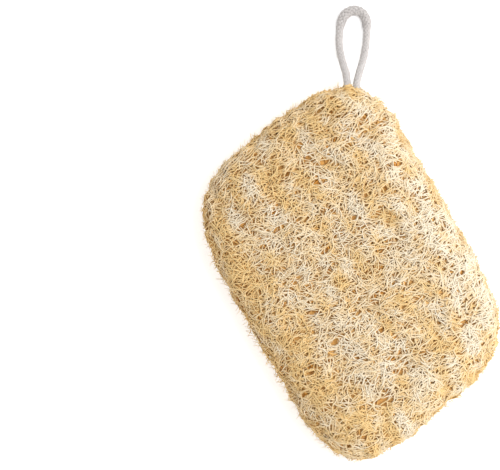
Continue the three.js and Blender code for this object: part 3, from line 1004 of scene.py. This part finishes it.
def bleach_and_painted_light(points):
    """How pale the skin is, from bleaching and painted light: about 0.5, more in the pale patches
    and less in the golden, and more to the right of the picture.
    """
    across_waves = (LUMP_WAYS / LUMP_LENGTHS[:, None] * PALE_FINENESS).T
    waves = np.cos(points @ across_waves + LUMP_STARTS[::-1])
    pale = PALE_MEAN + waves.sum(-1) * PALE_WAVES
    pale = pale + points @ picture_right / PAD_WIDTH * PAINTED_LIGHT_TO_THE_RIGHT
    for patches, gain in ((PALE_PATCHES, PALE_GAIN), (GOLDEN_PATCHES, GOLDEN_GAIN)):
        for (x, y), (across, lengthways) in patches:
            away = ((points[..., 0] - x) / across) ** 2 + ((points[..., 1] - y) / lengthways) ** 2
            pale = pale + gain * np.exp(-away)
    return pale


print(f"{len(PALE_PATCHES)} pale patches and {len(GOLDEN_PATCHES)} golden ones")

# %% Pits
pit_rng = np.random.default_rng(5)
BIG_PIT_SIZES = (1.5, 1.9), (1.2, 1.5)
# how many pits of each smaller kind, half their lengths, and half their widths
PIT_KINDS = [
    (50, (1.1, 1.5), (0.8, 1.15)),
    (700, (0.8, 1.3), (0.4, 0.65)),
    (2200, (0.6, 1.0), (0.26, 0.4)),
]
BIG_PITS = [
    (16, 1), (12, -5), (5, -14), (-4, 13), (-7, 5), (-2, -28), (-14, 38), (-22, -7), (-20, -22),
    (23, 16), (-17, 31), (-26, 27), (-3, -41), (-31, -65), (-35, -27), (-4, -47), (-16, -54),
    (21, 36), (13, 46), (22, 52), (7, 40), (31, 23), (8, 51), (40, 30), (-38, 12), (-30, 40),
]


def make_pits():
    """The pits: their places, the ways along and across them, and their half length and width."""
    found = []
    big_places = np.array([(x, y, PAD_THICKNESS) for x, y in BIG_PITS], float)
    kinds = [(len(BIG_PITS), *BIG_PIT_SIZES), *PIT_KINDS]
    for count, lengths, widths in kinds:
        place, normal = spread_points(count, pit_rng) if found else onto_skin(big_places, tries=6)
        grain, across = grain_at(normal)
        lean = pit_rng.normal(0, 0.45, (count, 1))
        along_pit = np.cos(lean) * grain + np.sin(lean) * across
        size = np.stack([pit_rng.uniform(*lengths, count), pit_rng.uniform(*widths, count)], 1)
        found.append((place, along_pit, np.cross(normal, along_pit), size))
    return [np.concatenate(parts) for parts in zip(*found)]


PITS = make_pits()
# The larger pits get a painted orange glow inside.
PAINTED_GLOW_PITS = len(BIG_PITS) + PIT_KINDS[0][0]
print(f"{len(PITS[0])} pits, of which {PAINTED_GLOW_PITS} glow")


def painted_pit_glow(points):
    """How much painted orange glow the inside gets: 1 in the middle of a larger pit and 0 away from
    them.
    """
    glow = np.zeros(points.shape[:-1])
    for place, size in zip(PITS[0][:PAINTED_GLOW_PITS], PITS[3][:PAINTED_GLOW_PITS]):
        away = np.linalg.norm(points - place, axis=-1) / (size.mean() + 0.9)
        glow = np.maximum(glow, smooth_step(1.5, 0.8, away))
    return glow


# %% Find what lies near a pit
CUBES_A_SIDE = 4001


def cube_number(cubes):
    """One number for each cube of a grid, given its three counts."""
    return (cubes[..., 0] * CUBES_A_SIDE + cubes[..., 1]) * CUBES_A_SIDE + cubes[..., 2]


def cell_lists(points, size):
    """For each cube of that size, the numbers of the points in it."""
    flat = cube_number(np.floor(points / size).astype(np.int64))
    order = np.argsort(flat, kind="stable")
    starts = np.flatnonzero(np.concatenate([[True], np.diff(flat[order]) != 0]))
    groups = np.split(order, starts[1:])
    return {int(flat[group[0]]): group for group in groups}


# %% Part the fibres round the pits
def part_round_pits(paths, strength=1.0, reach=3.5):
    """The paths with the fibres that cross a pit pushed to its sides."""
    shape = paths.shape
    points = paths.reshape(-1, 3).copy()
    lists = cell_lists(points, reach)
    nearby = [cube_number(np.array(cube) - 1) for cube in np.ndindex(3, 3, 3)]
    move = np.zeros_like(points)
    for place, lengthways, across, (half_length, half_width) in zip(*PITS):
        middle = cube_number(np.floor(place / reach).astype(np.int64))
        near = [lists[middle + shift] for shift in nearby if middle + shift in lists]
        if not near:
            continue
        near = np.concatenate(near)
        away = points[near] - place
        u, v = away @ lengthways / half_length, away @ across / half_width
        distance = np.hypot(u, v)
        inside = distance < 2.6
        near, u, v, distance = near[inside], u[inside], v[inside], distance[inside]
        wanted = (distance**3 + 1) ** (1 / 3)
        fibres, fibre = np.unique(near // shape[1], return_inverse=True)
        nearest_v = np.zeros(len(fibres))
        farthest_first = np.argsort(-distance)
        nearest_v[fibre[farthest_first]] = v[farthest_first]
        way = np.where(nearest_v[fibre] < 0, -1.0, 1.0)
        side = way * np.sqrt(np.maximum(wanted**2 - u**2, v**2))
        move[near] += ((side - v) * half_width * strength)[:, None] * across
    size = np.linalg.norm(move, axis=1, keepdims=True)
    points += move * np.minimum(1, 2.0 / np.maximum(size, 1e-9))
    moved = points.reshape(shape)
    moved[:, 1:-1] = moved[:, 1:-1] / 2 + (moved[:, :-2] + moved[:, 2:]) / 4
    return moved


# %% Keep the fibres off the cord
def clear_of_cord(paths, room=2.05):
    """The paths with their points pushed out of the cord's way, where it goes into the pad."""
    points = paths.reshape(-1, 3)
    line = cord_line[::2] / MM
    low, high = line.min(0) - room, line.max(0) + room
    near = np.flatnonzero(((points > low) & (points < high)).all(1))
    if not len(near):
        return paths
    away = points[near, None] - line
    distance = np.linalg.norm(away, axis=2)
    nearest = distance.argmin(1)
    rows = np.arange(len(near))
    gap = distance[rows, nearest]
    push = away[rows, nearest] * (np.maximum(room / np.maximum(gap, 0.05), 1) - 1)[:, None]
    points = points.copy()
    points[near] += push
    return points.reshape(paths.shape)


# %% [markdown]
# ## The layers of fibres
#
# Inside is a felt of crushed fibre, too dense to see through; its brown is partly its own colour
# and partly painted depth shade. On it lie golden inner fibres in every direction. On the upper
# side three layers follow: a bed that fills most gaps, the net that carries the look, and the
# finest, palest fibres on top. The underside has a more open net with finer fibres on it. Long,
# smooth fibres would look combed, so each is short and wavy and ends by diving into the layer
# below. On the rim many ends stand out instead, and their tone is turned golden as painted shade.
# Towards the lower right of the picture the strands get stouter, as they do in the photo, and
# their painted depth shade gets lighter.

# %% Where the strands are stouter
# painted shade: where strands are coarser, their painted depth shade is lighter
COARSER, COARSER_LESS_SHADE = 0.3, 0.4


def coarseness(points):
    """0 at the upper left of the picture, and up to 1 at the lower right."""
    return smooth_step(-40, 90, points[..., 0] - 0.6 * points[..., 1])


# %% Lay one layer
WAVE_EVERY = 9  # about how far apart a fibre's dips under its neighbours are
STEEP, FLAT = 0.2, 0.75  # how upright the way out is on the rim and on the faces
STANDING = (0.4, 2.2)  # above 1, the ends of a fibre on the rim stand out
END_SHARE, THIN_ENDS = 0.2, 0.35
# painted shade: fibres on the rim are turned golden, darker than on the faces
RIM_PAINTED_SHADE = 0.3


def lay_layer(
    metres, points, step, seed, deep, weave, radius, spread, wander, wave,
    where=None, parting=1.0, lumpy=1.0, dive=0.9, rising=1.0,
    tone_of=bleach_and_painted_light, mixed=0.2, bleach=0.0, sides=4
):
    """One layer of fibres over the whole pad, as a batch of tubes.

    metres is the length of all its fibres together. deep is how far below the skin they lie,
    weave how far they swing in and out, and dive how far their ends go down. spread is how far
    they lean from the grain, in degrees, at the loop's end of the pad and at the other. wander
    is how much a fibre bends, in degrees, and wave how long its bends are. parting says how
    much a pit pushes fibres aside, and rising how much their ends stand out on the rim."""
    rng = np.random.default_rng(seed)
    count = int(metres * 1000 / ((points - 1) * step))
    paths, normals = walk(count, points, step, rng, spread, wander, wave, where)
    paths = part_round_pits(paths, parting)
    count = len(paths)
    run = np.linspace(0, 1, points)
    base = rng.uniform(*deep, (count, 1))
    swing = rng.uniform(0.4, 1, (count, 1)) * weave
    phase = rng.uniform(0, 2 * math.pi, (count, 1))
    waves = rng.uniform(1.0, 2.4, (count, 1)) * points * step / WAVE_EVERY
    depth = base + swing * np.sin(run * waves * 2 * math.pi + phase)
    on_rim = smooth_step(FLAT, STEEP, np.abs(normals[..., 2]))
    ends = np.maximum(0, 1 - np.minimum(run, 1 - run) / END_SHARE) ** 2
    standing = on_rim * rng.uniform(*STANDING, (count, 1)) * rising
    depth = np.maximum(depth + dive * ends * (1 - np.minimum(standing, 1)), radius[1] * 0.9)
    depth = depth - ends * np.maximum(standing - 1, 0)
    sunk = depth + lumps(paths) * lumpy - rim_swell(paths)
    paths = clear_of_cord(paths - normals * sunk[..., None])
    coarse = coarseness(paths)
    thick = rng.uniform(*radius, (count, 1)) * (1 - THIN_ENDS * np.abs(run * 2 - 1) ** 6)
    thick = thick * (1 + COARSER * coarse)
    paths[..., 2] = np.maximum(paths[..., 2], thick + 0.02)
    # On the rim the tone is turned golden as painted shade.
    tone = tone_of(paths) + rng.normal(0, mixed, (count, 1)) - on_rim * RIM_PAINTED_SHADE
    # The depth handed to the finish sets its painted depth shade, lighter where strands are
    # coarser.
    return tube_batch(
        paths,
        normals,
        thick,
        sides=sides,
        flatness=0.88,
        tone=tone + bleach,
        depth=np.maximum(depth, 0) * (1 - COARSER_LESS_SHADE * coarse),
    )


# %% Upper and lower side
def on_upper_side(place, normal):
    """True for fibres that start on the upper side of the rim."""
    return place[:, 2] > RIM_HEIGHT


def on_lower_side(place, normal):
    """True for fibres that start on the lower side of the rim."""
    return place[:, 2] <= RIM_HEIGHT


# %% The felt inside and the inner fibres
FELT_DEPTH, FELT_UNEVEN = 2.2, 0.45

felt = skin_grid(170, 80)[1:-1]
felt_points, felt_normals = onto_skin(felt)
felt_rng = np.random.default_rng(17)
felt_sink = FELT_DEPTH + lumps(felt_points) * 0.6 - rim_swell(felt_points) * 0.9
felt_sink = felt_sink + felt_rng.uniform(-FELT_UNEVEN, FELT_UNEVEN, felt.shape[:2])
felt_points = felt_points - felt_normals * felt_sink[..., None]
rows, columns = felt.shape[:2]
number = np.arange(rows * columns).reshape(rows, columns)
right = np.roll(number, -1, 1)
felt_faces = np.stack([number[:-1], number[1:], right[1:], right[:-1]], -1).reshape(-1, 4)
caps = []
for row, order in ((number[0], 1), (number[-1], -1)):
    pairs = np.arange(columns // 2 - 1)
    strip = np.stack([row[pairs], row[pairs + 1], row[-2 - pairs], row[-1 - pairs]], -1)
    caps.append(strip[:, ::order])
felt_faces = np.concatenate([felt_faces, *caps])

inner_layer = lay_layer(
    metres=26, points=9, step=1.6, seed=21, deep=(1.2, 1.8), weave=0.25, radius=(0.3, 0.44),
    spread=(60, 80), wander=30, wave=(8, 16), parting=0.2, lumpy=0.9, dive=0.5, rising=0.0,
    tone_of=painted_pit_glow, mixed=0.12, sides=3
)
felt_points = felt_points.reshape(-1, 3)
# The felt's depth sets its painted depth shade, and its tone the pits' painted glow.
felt_facts = (felt_sink.ravel(), painted_pit_glow(felt_points))
inner_fibres = tubes_object(
    "loofah_inner_fibres", [inner_layer], inner_finish, (felt_points, felt_faces, *felt_facts)
)

# %% A piece of the net
net_pieces = {}


def lay_piece(name, **layer):
    """One layer of the net, on the upper or the lower side, as a piece of its own."""
    net_pieces[name] = tubes_object(name, [lay_layer(**layer)], outer_finish)


# %% The bed, the net and the pale fibres of the upper side
lay_piece(
    "loofah_upper_bed",
    metres=52, points=7, step=1.3, seed=33, deep=(0.65, 1.1), weave=0.15, radius=(0.26, 0.36),
    spread=(54, 57), wander=28, wave=(4.5, 9), where=on_upper_side, rising=0.6,
    mixed=0.12, bleach=-0.08, sides=3
)
lay_piece(
    "loofah_upper_net",
    metres=58, points=8, step=1.2, seed=31, deep=(0.35, 0.75), weave=0.2, radius=(0.22, 0.32),
    spread=(50, 50), wander=28, wave=(4.5, 9), where=on_upper_side, mixed=0.1, sides=3
)
lay_piece(
    "loofah_upper_fibres",
    metres=36, points=7, step=1.05, seed=41, deep=(0.22, 0.48), weave=0.15, radius=(0.19, 0.27),
    spread=(43, 45), wander=26, wave=(4.5, 9), where=on_upper_side, mixed=0.1, bleach=0.14
)

# %% The net and the pale fibres of the underside
lay_piece(
    "loofah_lower_net",
    metres=46, points=9, step=1.3, seed=32, deep=(0.6, 1.3), weave=0.3, radius=(0.27, 0.4),
    spread=(36, 38), wander=28, wave=(6, 12), where=on_lower_side, parting=0.8,
    mixed=0.22, sides=3
)
lay_piece(
    "loofah_lower_fibres",
    metres=27, points=9, step=1.1, seed=42, deep=(0.25, 0.6), weave=0.25, radius=(0.21, 0.31),
    spread=(34, 36), wander=28, wave=(5, 11), where=on_lower_side, mixed=0.2, bleach=0.15
)

# %% [markdown]
# ## Stray hairs
#
# A dry loofah sheds broken fibre ends. They stand a little off its faces, and further off its
# rim, where they blur the outline. They could be left to a bump, but the outline would stay
# sharp then, so each is a thin tube of its own.

# %% Stray hairs
HAIR_TRIES = 5600
HAIR_POINTS = 4
HAIR_ROOT = 0.7
# painted shade: hairs on the rim are turned golden
HAIR_PALER, HAIR_RIM_PAINTED_SHADE = 0.15, 0.25
FACE_LIFT, RIM_LIFT = 0.45, 1.9
HAIRS_ON_FACES = 0.22  # the share of them that is kept away from the rim

hair_rng = np.random.default_rng(43)


def mostly_on_rim(place, normal):
    """True for every place on the rim and for a few on the faces."""
    return hair_rng.random(len(place)) < np.maximum(
        smooth_step(0.9, 0.6, np.abs(normal[:, 2])), HAIRS_ON_FACES
    )


hair_paths, hair_normals = walk(
    HAIR_TRIES, HAIR_POINTS, 0.75, hair_rng, (60, 80), 50, (3, 7), where=mostly_on_rim
)
on_rim = smooth_step(0.8, 0.2, np.abs(hair_normals[:, :1, 2]))
stand = (FACE_LIFT + (RIM_LIFT - FACE_LIFT) * on_rim) * hair_rng.uniform(0.1, 1.0, on_rim.shape)
hair_depth = HAIR_ROOT - np.linspace(0, 1, HAIR_POINTS) ** 1.4 * (HAIR_ROOT + stand)
hair_sink = hair_depth + lumps(hair_paths) * 0.9 * (1 - on_rim) - rim_swell(hair_paths)
hair_paths = clear_of_cord(hair_paths - hair_normals * hair_sink[..., None])
hair_paths[..., 2] = np.clip(hair_paths[..., 2], 0.1, PAD_THICKNESS + 0.4)
hairs = tube_batch(
    hair_paths,
    hair_normals,
    hair_rng.uniform(0.09, 0.16, (len(hair_paths), 1)) * np.linspace(1, 0.5, HAIR_POINTS),
    sides=3,
    tone=bleach_and_painted_light(hair_paths) + HAIR_PALER - HAIR_RIM_PAINTED_SHADE * on_rim,
    depth=np.maximum(hair_depth, 0),
)
stray_hairs = tubes_object("loofah_stray_hairs", [hairs], outer_finish)

# %% Put the pad's pieces on its body
for piece in [inner_fibres, *net_pieces.values(), stray_hairs]:
    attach(piece, "root")
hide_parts("loofah_pad")
print(f"{len(net_pieces) + 2} pieces stand for the pad")

# %% [markdown]
# ## Floor and light
#
# The photo has a plain white ground and soft light that comes more from the right. A sky that
# is brighter on that side shades every fibre and both legs of the cord without a hard shadow,
# and one large lamp above it gives the fibres a little more relief. The floor could be lit
# white by stronger lamps, but they would bleach the straw. So it glows faintly, like a light
# table: it shows as white as the photo's ground, and the pad's soft shadow stays.

# %% A pale floor that glows a little
FLOOR_HALF = 3.0
FLOOR_HEIGHT = -0.00005
FLOOR_PAINT = 0.93
FLOOR_GLOW = 0.42

floor_mesh = bpy.data.meshes.new("floor")
floor_sides = ((-1, -1), (1, -1), (1, 1), (-1, 1))
floor_corners = [(x * FLOOR_HALF, y * FLOOR_HALF, FLOOR_HEIGHT) for x, y in floor_sides]
floor_mesh.from_pydata(floor_corners, [], [(0, 1, 2, 3)])
floor = bpy.data.objects.new("floor", floor_mesh)
bpy.context.scene.collection.objects.link(floor)
floor_paint = bpy.data.materials.new("pale_floor")
floor_paint.use_nodes = True
floor_shader = floor_paint.node_tree.nodes["Principled BSDF"]
floor_shader.inputs["Base Color"].default_value = (FLOOR_PAINT, FLOOR_PAINT, FLOOR_PAINT, 1)
floor_shader.inputs["Roughness"].default_value = 0.9
floor_shader.inputs["Specular IOR Level"].default_value = 0.0
floor_shader.inputs["Emission Color"].default_value = (1, 1, 1, 1)
floor_shader.inputs["Emission Strength"].default_value = FLOOR_GLOW
floor_mesh.materials.append(floor_paint)
floor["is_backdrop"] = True
print(f"the floor reaches {FLOOR_HALF:.0f} m each way")

# %% The sky and the lamp
SKY_MEAN = 0.85
SKY_SLOPE = 0.38
LAMP_POWER = 6.2
LAMP_SIZE = 0.8
LAMP_AWAY = 1.1
LAMP_TO_THE_RIGHT, LAMP_TO_THE_TOP = 0.75, 0.15

world = bpy.data.worlds.new("sloping_sky")
world.use_nodes = True
sky = world.node_tree
way_out = add_node(sky, "ShaderNodeTexCoord")
slope = add_node(sky, "ShaderNodeVectorMath", {1: tuple(picture_right)}, operation="DOT_PRODUCT")
sky.links.new(way_out.outputs["Generated"], slope.inputs[0])
strength = math_node(sky, "MULTIPLY", slope.outputs["Value"], SKY_SLOPE)
strength = math_node(sky, "ADD", strength, SKY_MEAN)
background = sky.nodes["Background"]
background.inputs["Color"].default_value = (1, 1, 1, 1)
sky.links.new(strength, background.inputs["Strength"])
bpy.context.scene.world = world

lamp_data = bpy.data.lights.new("soft_lamp", "AREA")
lamp_data.shape = "DISK"
lamp_data.size = LAMP_SIZE
lamp_data.energy = LAMP_POWER
lamp = bpy.data.objects.new("soft_lamp", lamp_data)
lamp_way = picture_right * LAMP_TO_THE_RIGHT + picture_up * LAMP_TO_THE_TOP + [0, 0, 1]
lamp_way = unit(lamp_way)
lamp.location = Vector(lamp_way * LAMP_AWAY)
lamp.rotation_euler = Vector(lamp_way).to_track_quat("Z", "Y").to_euler()
bpy.context.scene.collection.objects.link(lamp)
bpy.context.scene.view_settings.view_transform = "Standard"
print("the sky and the lamp are lit")

# %% [markdown]
# ## Sizes
#
# The dressed part is meant to keep the imported model's size, so both boxes are printed.

# %% Print the sizes
boxes = {"cad": cad_box, "visual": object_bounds()}
sizes = {name: [list(corner) for corner in box] for name, box in boxes.items()}
for name, (low, high) in sizes.items():
    print(name, [f"{(b - a) * 1000:.1f}" for a, b in zip(low, high)], "mm")
